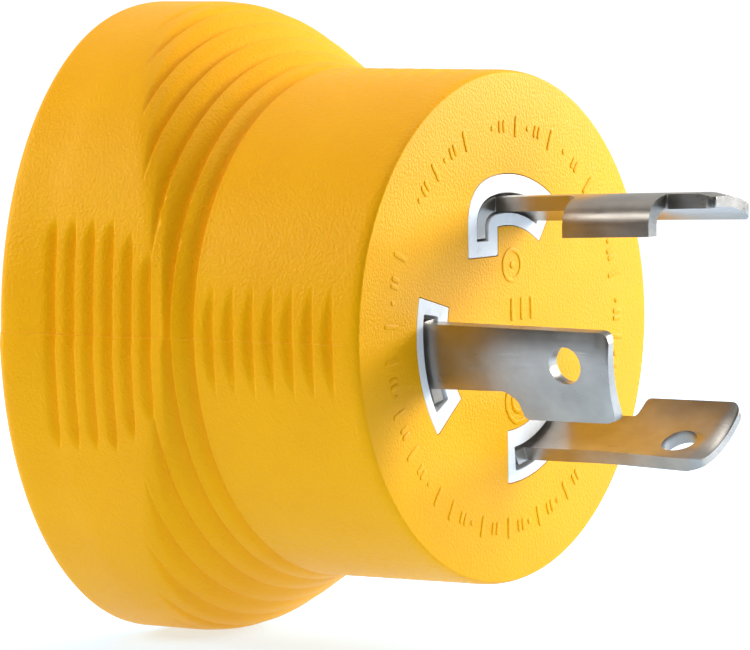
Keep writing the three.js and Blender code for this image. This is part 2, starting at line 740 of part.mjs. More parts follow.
function groundContact() {
  const floorZ = BASE_Z - BASE_THICKNESS;
  const sleeve = tube(SLEEVE_RADIUS, SLEEVE_RADIUS + LEAF_THICKNESS, CONTACT_MOUTH_Z, BASE_Z - 0.5, 24);
  const slit = block(-0.5, 0.5, -6, 0, CONTACT_MOUTH_Z - 1, floorZ - 1);
  const floor = disc(SLEEVE_RADIUS + LEAF_THICKNESS, floorZ, BASE_Z, 24);
  const cup = join(cut(sleeve, slit), floor);
  const upright = solid(cup).translate([0, GROUND_SOCKET_Y, 0]);
  const arm = baseBar([0, GROUND_SOCKET_Y], tailFoot(GROUND_ANGLE), LINK_HALF_WIDTH);
  return join(upright, arm, contactTail(GROUND_ANGLE));
}

// A steel clip that squeezes the two leaves of a power contact.
function leafSpring({ side }) {
  const inside = [LEAF_HALF_WIDTH + GAP, LEAF_INSIDE + LEAF_THICKNESS + GAP];
  const wall = 0.5;
  const outer = roundedBox(inside[0] + wall, inside[1] + wall, 0.7);
  const inner = roundedBox(inside[0], inside[1], 0.4);
  const ring = cut(prism(outer, -40, -35, 3), prism(inner, -41, -34, 3));
  const mouth = block(inside[0] - 0.5, inside[0] + 2, -0.9, 0.9, -41, -34);
  return solid(cut(ring, mouth)).rotate([0, 0, 45 * side])
    .translate([side * SLOT_CENTRE[0], SLOT_CENTRE[1], 0]);
}

function sleeveSpring() {
  const inner = SLEEVE_RADIUS + LEAF_THICKNESS + GAP;
  const ring = tube(inner, inner + 0.6, -40, -35, 24);
  const mouth = block(-1.2, 1.2, -8, 0, -41, -34);
  return solid(cut(ring, mouth)).translate([0, GROUND_SOCKET_Y, 0]);
}

function receptacleBackPlate() {
  const front = BACK_PLATE_Z;
  const rear = front - BACK_PLATE_THICKNESS;
  const halfWidth = LINK_HALF_WIDTH + GAP;
  const slots = BLADES.map(({ angle }) => rotated(block(
    CONTACT_TAIL_RADIUS - GAP, CONTACT_TAIL_RADIUS + CONTACT_TAIL_THICKNESS + GAP,
    -halfWidth, halfWidth, rear - 1, front + 1,
  ), angle));
  return cut(disc(CORE_RADIUS, rear, front), ...slots);
}

// Half of the tube that keeps the moulding out of the wiring space.
function coreShell(upper) {
  const front = INSERT_REAR_Z - 2 * GAP - PLATE_THICKNESS;
  const rear = BACK_PLATE_Z + GAP;
  const whole = tube(CORE_RADIUS - 2.4, CORE_RADIUS, rear, front, 48);
  const far = CORE_RADIUS + 5;
  const [low, high] = upper ? [GAP / 2, far] : [-far, -GAP / 2];
  return common(whole, block(-far, far, low, high, rear - 1, front + 1));
}

// ---------------------------------------------------------------- assembly

const adapter = new THREE.Group();

const axial = new THREE.Group();
axial.quaternion.setFromRotationMatrix(AXES);
adapter.add(axial);

function place(name, shape, material, degrees = 0) {
  const mesh = piece(name, shape, material);
  mesh.rotation.z = THREE.MathUtils.degToRad(degrees);
  axial.add(mesh);
}

place('outer_jacket', jacket(), YELLOW);
place('plug_insert', plugInsert(), WHITE);
place('plug_back_plate', plugBackPlate(), WHITE);
place('neutral_blade', powerBlade(NEUTRAL_BLADE), NICKEL, NEUTRAL_ANGLE);
place('hot_blade', powerBlade(HOT_BLADE), NICKEL, HOT_ANGLE);
place('ground_blade', groundBlade(), NICKEL);
for (const blade of BLADES) {
  place(`${blade.name}_link`, link(blade), COPPER, blade.angle);
  place(`${blade.name}_blade_rivet`, bladeRivet(blade), BRASS, blade.angle);
  place(`${blade.name}_contact_rivet`, contactRivet(), BRASS, blade.angle);
}
place('core_shell_upper', coreShell(true), GREY);
place('core_shell_lower', coreShell(false), GREY);
place('receptacle_back_plate', receptacleBackPlate(), WHITE);
for (const slot of POWER_SLOTS) {
  place(`${slot.name}_contact`, powerContact(slot), BRASS);
  place(`${slot.name}_contact_spring`, leafSpring(slot), STEEL);
}
place('ground_contact', groundContact(), BRASS);
place('ground_contact_spring', sleeveSpring(), STEEL);
place('receptacle_insert', receptacleInsert(), WHITE);

export default adapter;
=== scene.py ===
"""Looks for the rigid locking-plug adapter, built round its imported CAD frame.

Shapes are drawn in millimetres in the row frame and turned into metres as each mesh is
made: +X runs out of the plug's face along the blades, +Z is up towards the ground blade,
and +Y is to the right seen from the plug's front. Angles are degrees in the YZ plane,
from +Y towards +Z.
"""

import json
import math

import bmesh
import bpy
import numpy as np
from mathutils import Matrix, Vector
from mathutils.geometry import delaunay_2d_cdt


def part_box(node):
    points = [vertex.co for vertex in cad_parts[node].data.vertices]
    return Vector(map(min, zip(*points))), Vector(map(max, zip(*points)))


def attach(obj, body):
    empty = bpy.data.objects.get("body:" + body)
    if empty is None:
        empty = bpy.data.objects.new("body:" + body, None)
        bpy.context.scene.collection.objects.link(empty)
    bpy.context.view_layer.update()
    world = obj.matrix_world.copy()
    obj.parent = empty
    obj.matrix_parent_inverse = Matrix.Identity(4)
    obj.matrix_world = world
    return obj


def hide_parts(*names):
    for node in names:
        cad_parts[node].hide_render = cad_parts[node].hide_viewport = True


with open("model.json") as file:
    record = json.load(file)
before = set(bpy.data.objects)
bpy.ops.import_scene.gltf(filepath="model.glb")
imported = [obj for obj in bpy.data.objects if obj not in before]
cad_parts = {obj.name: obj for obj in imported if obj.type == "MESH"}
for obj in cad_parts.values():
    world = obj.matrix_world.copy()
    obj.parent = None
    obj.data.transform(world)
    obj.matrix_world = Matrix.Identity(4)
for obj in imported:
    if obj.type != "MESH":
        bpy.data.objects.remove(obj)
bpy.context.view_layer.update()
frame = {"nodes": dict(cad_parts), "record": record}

MM = 0.001


def box_mm(node):
    low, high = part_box(node)
    return low / MM, high / MM


# ------------------------------------------------------------------ driving dimensions (mm)

JACKET_LOW = box_mm("outer_jacket")[0]
REAR_X = JACKET_LOW.x
OVAL_HALF_WIDTH, LOWER_HALF_WIDTH = 29.45, 29.7  # the mould's lower half is a little prouder
OVAL_HALF_HEIGHT, LOWER_HALF_HEIGHT = 35.95, 35.6
REAR_POWER, GRIP_POWER = 2.06, 2.16  # superellipse exponents at the rear rim and under the grips
GRIP_INSET = 0.45  # how far the sides draw in between the rear rim and the grips
RIM_X, INSET_X, SQUARED_X = REAR_X + 1.0, REAR_X + 7.0, REAR_X + 9.0  # where those changes run
REAR_ROUNDING = 1.2

PLUG_RADIUS = 28.3
FACE_RADIUS = 27.85
EDGE_LENGTH = 1.4
FACE_WALL = 3.0
REAR_WALL = 3.5
CAVITY_RADIUS = 22.3
INSERT_RADIUS = 22.0
ROUND_SIDES = 96  # facets of the cavity and the inserts
WALL_GAP = 0.3  # between an insert's plate and the jacket's wall
SEAM = 0.1  # gap around the white bosses

GROOVE_PITCH = 2.63
FIRST_GROOVE_X = -3.24
GROOVE_WIDTH = 1.6
GROOVE_DEPTH = 0.68
FRONT_WALL_SLOPE = 3.0  # depth gained per mm along X
REAR_WALL_SLOPE = 0.58
LIP_WIDTH = 0.06
WALL_BLEND, FLOOR_BLEND, EDGE_BLEND = 0.2, 0.25, 0.24  # softness of a groove's corners
PLUG_GROOVE_EASE = 0.1  # the small cylinder's grooves are this much shallower
PLUG_GROOVES = 7
RING_GROOVES = 7
FIRST_SIDE_GROOVE = PLUG_GROOVES + 2
SIDE_GROOVE_REACH = (9.6, 11.8, 13.4, 13.4, 13.4, 13.4)
SIDE_GROOVE_RUN_OUT = 3.0
SIDE_GROOVE_BOW = 0.45  # how far back the ends of a side groove curve
BOW_HEIGHT, BOW_END_HEIGHT = 14.0, 20.0  # where the bow is full, and where it has died away
BOW_START_X, BOW_FULL_X = -22.0, -26.0
BOWED_FROM_X, BOWED_TO_X = -2.4, -42.5  # between these the mesh follows the grooves' bow
HALF_OFFSET = 0.09  # the lower mould half sits this much further forward
SHOULDER_START_X = -20.9
SHOULDER_END_X = -39.5
SHOULDER_RADIUS = 36.0
SHOULDER_BLEND = 1.2  # softness of the crease between the shoulder and the oval's sides
CREASE_START_X, CREASE_FULL_X = -23.5, -28.0

BLADE_THICKNESS = 1.6
POWER_BLADE_RADIUS = 13.9
GROUND_BLADE_RADIUS = 12.9
POCKET_DEPTH = 2.0
NEUTRAL_ANGLE, HOT_ANGLE = 187.3, 298.6
TAIL_END_X = box_mm("neutral_blade")[0].x
INSERT_REAR_X = box_mm("plug_insert")[0].x
EAR_FRONT_X = INSERT_REAR_X + 1.7
TAIL_HALF_WIDTH = 2.75
BLADE_RIVET_X = -16.9
TIP_BEVEL_LENGTH = 1.9
TIP_BEVEL_DEPTH = 0.45
ROOT_X = -0.2
BLADE_HOLE_RADIUS = 2.02
RIVET_HOLE_RADIUS = 1.6
BLADE_EDGE = 0.16  # rounding along the blades' edges
CUTTER_LOW, CUTTER_HIGH = 8, 20  # radial reach of the tools that cut the blades

BOSS_INNER, BOSS_OUTER = 11.45, 17.2
GROUND_BOSS_INNER, GROUND_BOSS_OUTER = 11.25, 16.85
NEUTRAL_BOSS = (165.3, 218.6)
HOT_BOSS = (270.0, 320.5)
NEUTRAL_POCKET, HOT_POCKET = (171.0, 211.5), (275.5, 314.5)
NEUTRAL_SLOT, HOT_SLOT = (171.8, 210.9), (276.3, 313.8)
SLOT_GAP = 0.12

SLOT_Y, SLOT_Z = 8.2, -4.5
SLOT_HALF_LENGTH, SLOT_HALF_WIDTH = 5.5, 1.3
GROUND_SOCKET_Z = 9.5
GROUND_SOCKET_RADIUS = 3.8
SOCKET_MOUTH_X = -43.3
CHAMBER_HALF_LENGTH, CHAMBER_HALF_WIDTH = 5.7, 2.7
GROUND_BORE_RADIUS = 5.4

# ------------------------------------------------------------------ plane outlines


def polar(radius, degrees):
    angle = math.radians(degrees)
    return radius * math.cos(angle), radius * math.sin(angle)


def arc(radius, start, end, step=1.5):
    """Points on a circle about the origin, from start to end degrees."""
    count = max(2, round(abs(end - start) / step) + 1)
    return [polar(radius, angle) for angle in np.linspace(start, end, count)]


def soften(points, size, turn=25.0):
    """The closed outline with each corner sharper than turn degrees rounded off."""
    result = []
    for i, point in enumerate(points):
        here = Vector(point)
        before = Vector(points[i - 1]) - here
        after = Vector(points[(i + 1) % len(points)]) - here
        if math.degrees(math.pi - before.angle(after)) < turn:
            result.append(tuple(here))
            continue
        reach = size[i] if isinstance(size, (list, tuple)) else size
        start = here + before.normalized() * min(reach, before.length * 0.49)
        end = here + after.normalized() * min(reach, after.length * 0.49)
        for t in np.linspace(0, 1, 7):
            curve = start * (1 - t) ** 2 + here * 2 * t * (1 - t) + end * t**2
            result.append(tuple(curve))
    return result


def circle(radius, centre=(0.0, 0.0), count=48):
    return [
        (centre[0] + radius * math.cos(t), centre[1] + radius * math.sin(t))
        for t in np.linspace(0, 2 * math.pi, count, endpoint=False)
    ]


def turned(points, degrees, shift=(0.0, 0.0)):
    cos, sin = math.cos(math.radians(degrees)), math.sin(math.radians(degrees))
    return [(cos * a - sin * b + shift[0], sin * a + cos * b + shift[1]) for a, b in points]


def sector(inner, outer, start, end, step=1.5):
    return arc(outer, start, end, step) + arc(inner, end, start, step)


def inside(points, outline):
    """Which of the points lie inside the closed outline."""
    x, y = np.asarray(points, float).T
    result = np.zeros(len(x), bool)
    ring = np.asarray(outline, float)
    for (ax, ay), (bx, by) in zip(ring, np.roll(ring, -1, axis=0)):
        crosses = (ay > y) != (by > y)
        with np.errstate(divide="ignore", invalid="ignore"):
            at = (bx - ax) * (y - ay) / (by - ay) + ax
        result ^= crosses & (x < at)
    return result


def triangulate(loops):
    """Triangles of the region inside the first loop and outside the others.

    They index the loops' points in order, one loop after another."""
    points, edges = [], []
    for loop in loops:
        first, count = len(points), len(loop)
        points += [Vector(p) for p in loop]
        edges += [(first + i, first + (i + 1) % count) for i in range(count)]
    corners, _, faces, origins, _, _ = delaunay_2d_cdt(points, edges, [], 0, 1e-7)
    original = [found[0] for found in origins]
    middles = [sum((corners[i] for i in face), Vector((0, 0))) / 3 for face in faces]
    keep = inside(middles, loops[0])
    for hole in loops[1:]:
        keep &= ~inside(middles, hole)
    return [tuple(original[i] for i in face) for face, kept in zip(faces, keep) if kept]


# ------------------------------------------------------------------ meshes


def make(name, points, faces, smooth=32.0):
    """An object from points in millimetres, its shared points merged, its faces turned out."""
    mesh = bpy.data.meshes.new(name)
    mesh.from_pydata([tuple(p) for p in np.asarray(points, float) * MM], [], faces)
    sheet = bmesh.new()
    sheet.from_mesh(mesh)
    bmesh.ops.remove_doubles(sheet, verts=sheet.verts, dist=2e-7)
    bmesh.ops.recalc_face_normals(sheet, faces=sheet.faces)
    sheet.to_mesh(mesh)
    sheet.free()
    piece = bpy.data.objects.new(name, mesh)
    bpy.context.scene.collection.objects.link(piece)
    shade(piece, smooth)
    return piece


def shade(piece, smooth=32.0):
    piece.data.shade_smooth()
    piece.data.set_sharp_from_angle(angle=math.radians(smooth))


def loft(name, loops):
    """A closed solid through loops of equally many 3-D points, with flat ends."""
    count = len(loops[0])
    points = [p for loop in loops for p in loop]
    faces = [tuple(range(count))[::-1], tuple(range(len(points) - count, len(points)))]
    for row in range(len(loops) - 1):
        a, b = row * count, (row + 1) * count
        for i in range(count):
            j = (i + 1) % count
            faces.append((a + i, a + j, b + j, b + i))
    return make(name, points, faces)


def prism(name, outline, low_x, high_x):
    """A prism along X over an outline of (y, z) points."""
    return loft(name, [[(x, y, z) for y, z in outline] for x in (low_x, high_x)])


def apply(piece, kind, **settings):
    """Adds one modifier, sets it up and makes its result the piece's own mesh."""
    modifier = piece.modifiers.new(kind, kind)
    for key, value in settings.items():
        setattr(modifier, key, value)
    graph = bpy.context.evaluated_depsgraph_get()
    result = bpy.data.meshes.new_from_object(piece.evaluated_get(graph))
    piece.modifiers.clear()
    old, piece.data = piece.data, result
    bpy.data.meshes.remove(old)
    return piece


def combine(piece, tools, operation):
    """Joins, cuts or intersects the piece with each tool in turn, and removes the tools."""
    for tool in tools:
        apply(piece, "BOOLEAN", operation=operation, object=tool, solver="EXACT")
        bpy.data.objects.remove(tool)
    return piece


def round_edges(piece, width):
    """Small roundings on the piece's sharp edges, then smooth shading between them."""
    apply(
        piece,
        "BEVEL",
        width=width * MM,
        segments=2,
        limit_method="ANGLE",
        angle_limit=math.radians(38.0),
        harden_normals=False,
    )
    shade(piece, 50.0)
    return apply(piece, "WEIGHTED_NORMAL", keep_sharp=True)


# ------------------------------------------------------------------ yellow jacket


def groove_x(index):
    return FIRST_GROOVE_X - index * GROOVE_PITCH


def smoothstep(value, low, high):
    t = np.clip((value - low) / (high - low), 0, 1)
    return t * t * (3 - 2 * t)


def shoulder_radius(x):
    """The shoulder swells from the small cylinder in a smooth S."""
    swell = smoothstep(x, SHOULDER_START_X, SHOULDER_END_X)
    return PLUG_RADIUS + (SHOULDER_RADIUS - PLUG_RADIUS) * swell


def lower_half(theta):
    """1 below the parting line, 0 above it, with a narrow step between."""
    return smoothstep(-OVAL_HALF_WIDTH * np.sin(theta), -0.03, 0.05)


def oval_radius(theta, x):
    """The big end's outline: squarer under the side grips than at the rear rim."""
    cos, sin = np.abs(np.cos(theta)), np.abs(np.sin(theta))
    below = lower_half(theta)
    swell = smoothstep(-OVAL_HALF_WIDTH * np.sin(theta), -0.1, 1.6)
    prouder = (LOWER_HALF_WIDTH - OVAL_HALF_WIDTH) * (0.3 * below + 0.7 * swell)
    half_width = OVAL_HALF_WIDTH + prouder - GRIP_INSET * smoothstep(x, RIM_X, INSET_X)
    half_height = np.where(np.sin(theta) < 0, LOWER_HALF_HEIGHT, OVAL_HALF_HEIGHT)
    power = REAR_POWER + (GRIP_POWER - REAR_POWER) * smoothstep(x, RIM_X, SQUARED_X)
    return ((cos / half_width) ** power + (sin / half_height) ** power) ** (-1 / power)


def soft_minimum(a, b, blend):
    """The lesser of a and b, rounded off where they are within blend of each other."""
    overlap = np.maximum(blend - np.abs(a - b), 0) / np.maximum(blend, 1e-6)
    return np.minimum(a, b) - overlap**2 * blend / 4


def groove_cut(x, index, depth, lift):
    """Depth of groove number index at x, where its cutter has risen by lift.

    The front wall is steep and the rear one slopes, so a rising end narrows to a point."""
    behind_lip = groove_x(index) - x
    front = FRONT_WALL_SLOPE * (behind_lip - LIP_WIDTH)
    rear = REAR_WALL_SLOPE * (GROOVE_WIDTH - behind_lip)
    walls = soft_minimum(front, rear, WALL_BLEND)
    below = soft_minimum(walls, depth, FLOOR_BLEND) - lift
    return -soft_minimum(-below, 0.0, EDGE_BLEND)


def side_height(theta):
    """Height above or below the parting line, as measured on the flat of a side."""
    return OVAL_HALF_WIDTH * np.tan(np.clip(np.abs(np.arcsin(np.sin(theta))), 0, 1.2))


def bow(theta, x):
    """How far back the side grooves' ends curve, and how far forward the lower half sits."""
    height = side_height(theta)
    share = (height / BOW_HEIGHT) ** 2 * (1 - smoothstep(height, BOW_HEIGHT, BOW_END_HEIGHT))
    back = SIDE_GROOVE_BOW * share * smoothstep(x, BOW_START_X, BOW_FULL_X)
    return HALF_OFFSET * lower_half(theta) - back


def jacket_radius(theta, x):
    """Radius of the jacket's outside at each angle and axial place."""
    blend = SHOULDER_BLEND * smoothstep(x, CREASE_START_X, CREASE_FULL_X)
    shoulder = shoulder_radius(x)
    plain = soft_minimum(shoulder, oval_radius(theta, x), blend)
    half_shift = HALF_OFFSET * lower_half(theta)
    cuts = np.zeros_like(plain)
    for index in range(PLUG_GROOVES, PLUG_GROOVES + RING_GROOVES):
        cuts = np.maximum(cuts, groove_cut(x - half_shift, index, GROOVE_DEPTH, shoulder - plain))

    quarter = np.pi / 2
    off_middle = (theta + quarter / 2) % quarter - quarter / 2
    rise = plain * (1 / np.cos(off_middle) - 1)
    shallow = GROOVE_DEPTH - PLUG_GROOVE_EASE
    for index in range(PLUG_GROOVES):
        cuts = np.maximum(cuts, groove_cut(x - half_shift, index, shallow, rise))

    height = side_height(theta)
    for place, reach in enumerate(SIDE_GROOVE_REACH):
        run_out = np.maximum(height - reach + SIDE_GROOVE_RUN_OUT, 0) / SIDE_GROOVE_RUN_OUT
        cutter = x - bow(theta, x)
        lift = GROOVE_DEPTH * run_out**2
        cuts = np.maximum(cuts, groove_cut(cutter, FIRST_SIDE_GROOVE + place, GROOVE_DEPTH, lift))
    return plain - cuts + parting_line(theta, plain)


def parting_line(theta, radius):
    """A thin ridge where the mould's halves meet at both sides."""
    height = radius * np.sin(theta)
    ridge = 0.05 * np.exp(-((height / 0.12) ** 2))
    step = 0.04 * lower_half(theta) * (1 - smoothstep(-height, 0.5, 6.0))
    return ridge + step


def jacket_columns():
    """Angles round the jacket, closer together across the parting lines."""
    plain = np.radians(np.arange(0, 360, 0.6))
    close = np.radians((-0.35, -0.25, -0.15, -0.08, 0.08, 0.15, 0.25, 0.35))
    return np.unique(np.concatenate([plain, close % (2 * np.pi), np.pi + close]))


def jacket_rows():
    """Axial places from the face's edge to the rear rounding, close together in grooves."""
    across = (-0.12, -0.06, -0.02, 0.02, 0.06, 0.1, 0.14, 0.18, 0.24, 0.3, 0.36,
              0.44, 0.52, 0.6, 0.68, 0.76, 0.84, 0.92, 1.0, 1.1)
    last = FIRST_SIDE_GROOVE + len(SIDE_GROOVE_REACH)
    rows = [-EDGE_LENGTH, -EDGE_LENGTH - 0.8]
    for index in range(last):
        rows += [groove_x(index) - share * GROOVE_WIDTH for share in across]
        if index < last - 1:
            rows.append((groove_x(index) - GROOVE_WIDTH + groove_x(index + 1)) / 2)
    behind = np.linspace(rows[-1], REAR_X + REAR_ROUNDING, 9)[1:]
    return rows + list(behind)


def jacket_skin():
    """Rings of points over the outside, from the face's rim to the rear face's rim."""
    theta = jacket_columns()
    rings = []
    for step in np.linspace(0, 1, 9)[:-1]:
        phi = step * math.pi / 2
        radius = FACE_RADIUS + (PLUG_RADIUS - FACE_RADIUS) * math.sin(phi)
        x = -EDGE_LENGTH * (1 - math.cos(phi))
        rings.append((np.full_like(theta, x), np.full_like(theta, radius)))
    for x in jacket_rows():
        behind_edge = smoothstep(x, -EDGE_LENGTH, BOWED_FROM_X)
        ahead_of_rim = smoothstep(x, REAR_X + 2, BOWED_TO_X)
        at = x + bow(theta, x) * behind_edge * ahead_of_rim
        rings.append((at, jacket_radius(theta, at)))
    for step in np.linspace(0, 1, 8)[1:]:
        phi = step * math.pi / 2
        x = REAR_X + REAR_ROUNDING * (1 - math.sin(phi))
        at = np.full_like(theta, x)
        radius = jacket_radius(theta, at) - REAR_ROUNDING * (1 - math.cos(phi))
        rings.append((at, radius))
    return [
        np.column_stack([x, radius * np.cos(theta), radius * np.sin(theta)])
        for x, radius in rings
    ]


def jacket():
    """The yellow moulding: its skin, its two end walls with their openings, and its cavity."""
    skin = jacket_skin()
    points, faces = [], []

    def add(block):
        first = len(points)
        points.extend(map(tuple, block))
        return first

    def wall(a, b, count):
        for i in range(count):
            j = (i + 1) % count
            faces.append((a + i, a + j, b + j, b + i))

    starts = [add(ring) for ring in skin]
    for a, b in zip(starts, starts[1:]):
        wall(a, b, len(skin[0]))

    cavity_rings = []
    ends = (
        (skin[0], 0.0, -FACE_WALL, plug_bosses(SEAM)),
        (skin[-1], REAR_X, REAR_X + REAR_WALL, socket_bosses(SEAM)),
    )
    for rim, outer_x, inner_x, holes in ends:
        cavity = circle(CAVITY_RADIUS, count=ROUND_SIDES)
        for x, edge in ((outer_x, [tuple(p) for p in rim[:, 1:]]), (inner_x, cavity)):
            loops = [edge, *holes]
            first = add([(x, y, z) for loop in loops for y, z in loop])
            faces.extend(tuple(first + i for i in face) for face in triangulate(loops))
        for hole in holes:
            sides = [add([(x, y, z) for y, z in hole]) for x in (outer_x, inner_x)]
            wall(*sides, len(hole))
        cavity_rings.append(add([(inner_x, y, z) for y, z in cavity]))
    wall(*cavity_rings, ROUND_SIDES)
    return make("jacket", points, faces, smooth=40.0)


# ------------------------------------------------------------------ white bosses and inserts


def tangent_bend(radius, x, reach, drop):
    """A smooth bend from an arc about the origin into the upright line at x.

    It leaves the arc reach before the line and ends drop below the arc's tangent there."""
    start = Vector((x + reach, math.sqrt(radius**2 - (x + reach) ** 2)))
    corner = Vector((x, start.y + reach * start.x / start.y))
    end = Vector((x, corner.y - drop))
    steps = np.linspace(0, 1, 13)
    return [tuple(start * (1 - t) ** 2 + corner * 2 * t * (1 - t) + end * t * t) for t in steps]


def ground_boss(grow):
    """The ground blade's boss: an arc with a leg down its left side."""
    left, leg_right, foot = -7.2 - grow, -1.5 + grow, 8.0 - grow
    outer, inner = GROUND_BOSS_OUTER + grow, GROUND_BOSS_INNER - grow
    right = 54 - 3 * grow
    leg_angle = math.degrees(math.acos(leg_right / inner))
    bend = tangent_bend(outer, left, 4.6, 4.6)
    bend_angle = math.degrees(math.atan2(bend[0][1], bend[0][0]))
    return soften(
        [
            *arc(outer, right, bend_angle)[:-1],
            *bend,
            (left, foot),
            (leg_right, foot),
            *arc(inner, leg_angle, right),
        ],
        0.3,
    )


def plug_bosses(grow):
    """Outlines of the three bosses in the plug's face, made larger by grow."""
    turn = grow * 3.5
    power = [
        soften(sector(BOSS_INNER - grow, BOSS_OUTER + grow, start - turn, end + turn), 0.3)
        for start, end in (NEUTRAL_BOSS, HOT_BOSS)
    ]
    return [*power, ground_boss(grow)]


def rounded_box(half_length, half_width, corner):
    corners = [
        (-half_length, -half_width),
        (half_length, -half_width),
        (half_length, half_width),
        (-half_length, half_width),
    ]
    return soften(corners, corner)


def slot_place(points, side):
    """Moves an outline from the origin to the slot on that side, at 45 degrees."""
    return turned(points, 45 * side, (side * SLOT_Y, SLOT_Z))


def socket_bosses(grow):
    """Outlines of the three bosses in the receptacle's face, made larger by grow."""
    around = rounded_box(SLOT_HALF_LENGTH + 1.6 + grow, SLOT_HALF_WIDTH + 1.5 + grow, 1.5)
    ground = circle(GROUND_SOCKET_RADIUS + 1.9 + grow, (0, GROUND_SOCKET_Z), 64)
    return [slot_place(around, -1), slot_place(around, 1), ground]


def plug_insert():
    plate = circle(INSERT_RADIUS, count=ROUND_SIDES)
    body = prism("white_plug_insert", plate, INSERT_REAR_X, -FACE_WALL - WALL_GAP)
    bosses = [prism("boss", outline, -FACE_WALL - 1, 0.0) for outline in plug_bosses(0)]
    combine(body, bosses, "UNION")
    inner, outer = POWER_BLADE_RADIUS, POWER_BLADE_RADIUS + BLADE_THICKNESS
    pockets = [
        soften(sector(inner - 0.55, outer + 0.5, *span), 0.3)
        for span in (NEUTRAL_POCKET, HOT_POCKET)
    ]
    pockets.append(ground_section(0.3))
    cuts = [prism("pocket", outline, -POCKET_DEPTH, 1.0) for outline in pockets]
    combine(body, cuts, "DIFFERENCE")
    slots = [
        sector(inner - SLOT_GAP, outer + SLOT_GAP, *span) for span in (NEUTRAL_SLOT, HOT_SLOT)
    ]
    slots.append(ground_section(SLOT_GAP))
    cuts = [prism("slot", outline, INSERT_REAR_X - 1, 1.0) for outline in slots]
    combine(body, cuts, "DIFFERENCE")
    return round_edges(body, 0.14)


def receptacle_insert():
    low, high = box_mm("receptacle_insert")
    wall_x = REAR_X + REAR_WALL + WALL_GAP
    plate = circle(INSERT_RADIUS, count=ROUND_SIDES)
    body = prism("white_receptacle_insert", plate, wall_x, high.x)
    bosses = [prism("boss", outline, low.x, wall_x + 1) for outline in socket_bosses(0)]
    combine(body, bosses, "UNION")
    mouth = rounded_box(SLOT_HALF_LENGTH, SLOT_HALF_WIDTH, 0.4)
    chamber = rounded_box(CHAMBER_HALF_LENGTH, CHAMBER_HALF_WIDTH, 0.2)
    ground = (0, GROUND_SOCKET_Z)
    cuts = [
        prism("hole", circle(GROUND_SOCKET_RADIUS, ground), low.x - 1, SOCKET_MOUTH_X + 1),
        prism("bore", circle(GROUND_BORE_RADIUS, ground), SOCKET_MOUTH_X, high.x + 1),
    ]
    for side in (-1, 1):
        cuts.append(prism("mouth", slot_place(mouth, side), low.x - 1, SOCKET_MOUTH_X + 1))
        cuts.append(prism("chamber", slot_place(chamber, side), SOCKET_MOUTH_X, high.x + 1))
    combine(body, cuts, "DIFFERENCE")
    return round_edges(body, 0.25)


# ------------------------------------------------------------------ blades


def radial_frame(angle):
    """Turns (radial, tangential, axial) drawing axes into the row frame at that angle."""
    axes = Matrix(((0, 0, 1, 0), (1, 0, 0, 0), (0, 1, 0, 0), (0, 0, 0, 1)))
    return Matrix.Rotation(math.radians(angle), 4, "X") @ axes


def radial_prism(name, outline, angle, low, high):
    """A prism over (tangential, axial) points, pushed along the radius at that angle."""
    place = radial_frame(angle)
    loops = [[place @ Vector((r, t, x)) for t, x in outline] for r in (low, high)]
    return loft(name, loops)


def bevelled_ring(name, inner, angle, spread, length):
    """A stretch of tube wall, thinned towards the blade's tip on both faces."""
    outer = inner + BLADE_THICKNESS
    stations = (
        (TAIL_END_X - 1, inner, outer),
        (length - TIP_BEVEL_LENGTH, inner, outer),
        (length - 0.6, inner, outer - TIP_BEVEL_DEPTH * 0.68),
        (length + 0.4, inner + 0.5, outer - TIP_BEVEL_DEPTH * 1.2),
    )
    loops = []
    for x, low, high in stations:
        ring = sector(low, high, angle - spread, angle + spread, 1.25)
        loops.append([(x, y, z) for y, z in ring])
    return loft(name, loops)


def power_blade(name, angle, root, neck, head, hole):
    """A hooked blade. root and neck are tangential sides, head the outline beyond them."""
    ear, tail = 1.0, TAIL_HALF_WIDTH
    corners = [
        (-tail, INSERT_REAR_X, 0.1),
        (-tail, TAIL_END_X, 0.8),
        (tail, TAIL_END_X, 0.8),
        (tail, INSERT_REAR_X, 0.1),
        (root[1] + ear, INSERT_REAR_X, 0.1),
        (root[1] + ear, EAR_FRONT_X, 0.1),
        (root[1], EAR_FRONT_X, 0.1),
        (root[1], ROOT_X, 0.3),
        (neck[1] + 0.08, ROOT_X, 0.05),
        *head,
        (neck[0] - 0.08, ROOT_X, 0.05),
        (root[0] - 0.1, ROOT_X, 0.05),
        (root[0], EAR_FRONT_X, 0.1),
        (root[0] - ear, EAR_FRONT_X, 0.1),
        (root[0] - ear, INSERT_REAR_X, 0.1),
    ]
    outline = soften([c[:2] for c in corners], [c[2] for c in corners], turn=4.0)
    length = max(c[1] for c in corners)
    blade = bevelled_ring(name, POWER_BLADE_RADIUS, angle, 42, length)
    planform = radial_prism("planform", outline, angle, CUTTER_LOW, CUTTER_HIGH)
    combine(blade, [planform], "INTERSECT")
    face_hole = radial_prism(
        "hole", circle(BLADE_HOLE_RADIUS, hole), angle, CUTTER_LOW, CUTTER_HIGH
    )
    combine(blade, [face_hole, rivet_hole(angle)], "DIFFERENCE")
    return round_edges(blade, BLADE_EDGE)


def rivet_hole(angle):
    """The tool for the hole in a blade's tail."""
    outline = circle(RIVET_HOLE_RADIUS, (0, BLADE_RIVET_X), 32)
    return radial_prism("hole", outline, angle, CUTTER_LOW, CUTTER_HIGH)


LEG_OUTSIDE, LEG_TIP = -5.2, 10.0
LUG_REAR_X, LUG_FRONT_X = 10.9, 22.0  # where the leg folds down beside the blade's neck
GROUND_TAIL_ANGLE = 78.5
GROUND_TILT = 0.034  # rise per mm ahead of the face: the blade is bent slightly outwards


